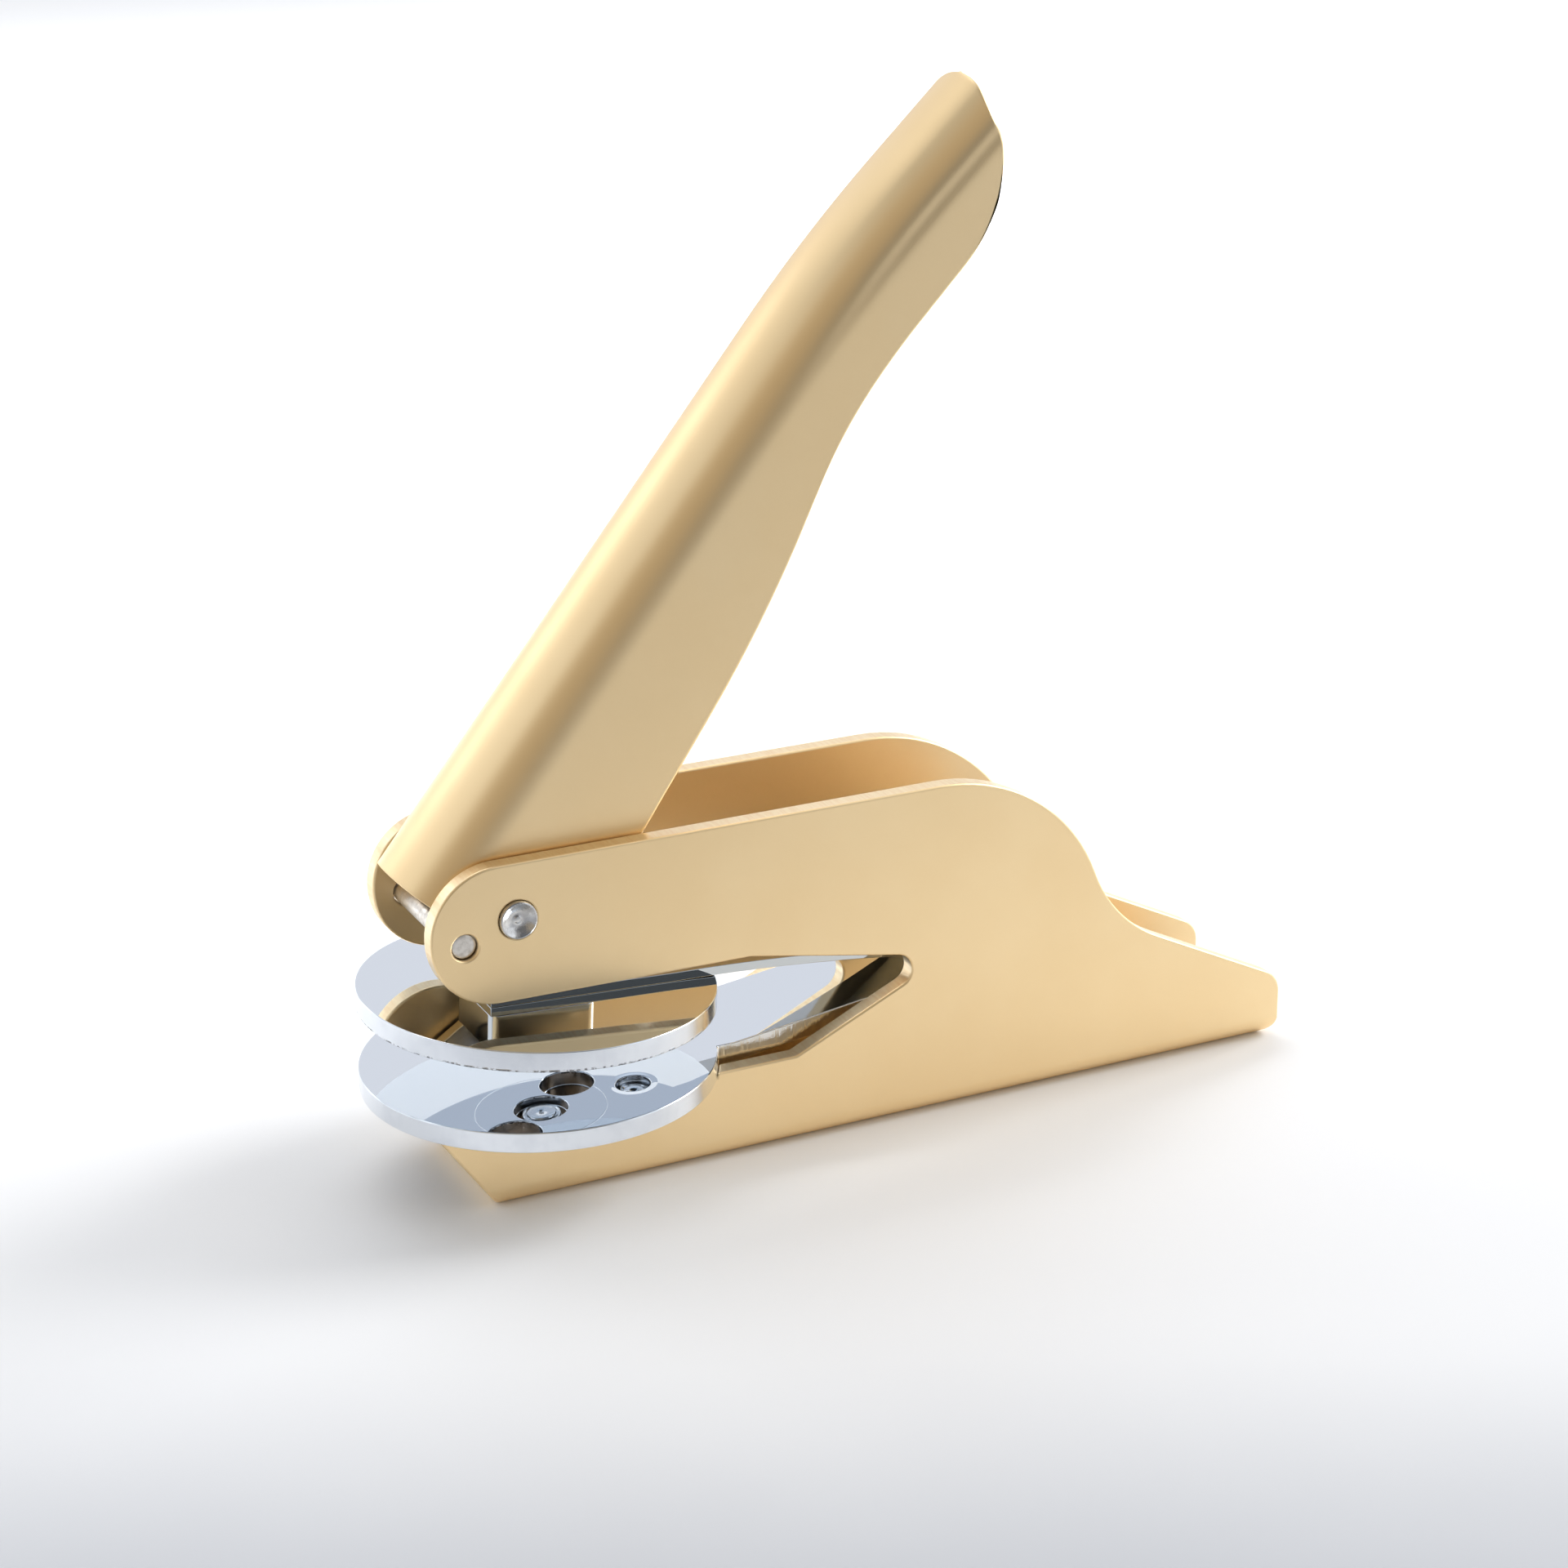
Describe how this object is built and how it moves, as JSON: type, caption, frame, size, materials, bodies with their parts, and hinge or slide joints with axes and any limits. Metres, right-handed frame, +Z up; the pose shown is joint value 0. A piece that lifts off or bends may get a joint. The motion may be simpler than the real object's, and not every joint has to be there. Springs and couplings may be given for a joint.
{
  "type": "seal embosser",
  "caption": "Hand-lever seal embosser: folded C frame, channel lever with a cam, and two round die plates, the upper one on a spring leaf.",
  "frame": {"origin": "middle of the footprint's bounding box, on the table", "axes": "+X to the rear (tail of the frame), +Y to the left seen from the front, +Z up"},
  "size_m": [0.1261, 0.045, 0.1319],
  "materials": {
    "satin_gold": "satin",
    "mirror_chrome": "polished",
    "bright_steel": "bright",
    "spring_steel": "polished",
    "plain_steel": "machined"
  },
  "bodies": {
    "base": {"frame": "satin_gold", "pivot_rivet": "bright_steel", "stop_pin": "bright_steel", "lower_die_plate": "mirror_chrome", "lower_centre_pin": "bright_steel", "lower_plate_rivet": "bright_steel", "clamp_block": "plain_steel", "clamp_rivets": "bright_steel", "support_block": "plain_steel", "base_screws": "plain_steel"},
    "lever": {"handle": "satin_gold", "handle_cam": "plain_steel", "cam_pin": "bright_steel"},
    "die_head": {"upper_die_disc": "mirror_chrome", "upper_centre_pin": "bright_steel", "upper_disc_rivet": "bright_steel", "spring_leaf": "spring_steel", "pressure_block": "mirror_chrome"}
  },
  "joints": [
    {"name": "lever_press", "type": "hinge", "parent": "base", "child": "lever", "pos_m": [-0.04685, 0, 0.0378], "axis": [0, 1, 0], "range_deg": [0, 42]},
    {"name": "head_press", "type": "hinge", "parent": "base", "child": "die_head", "pos_m": [0.01865, 0, 0.01917], "axis": [0, -1, 0], "range_deg": [0, 3.2], "stiffness_Nm_per_rad": 19, "springref_deg": -1.72}
  ],
  "couplings": [
    {"joint": "head_press", "follows": "lever_press", "ratio": 0.07619}
  ]
}
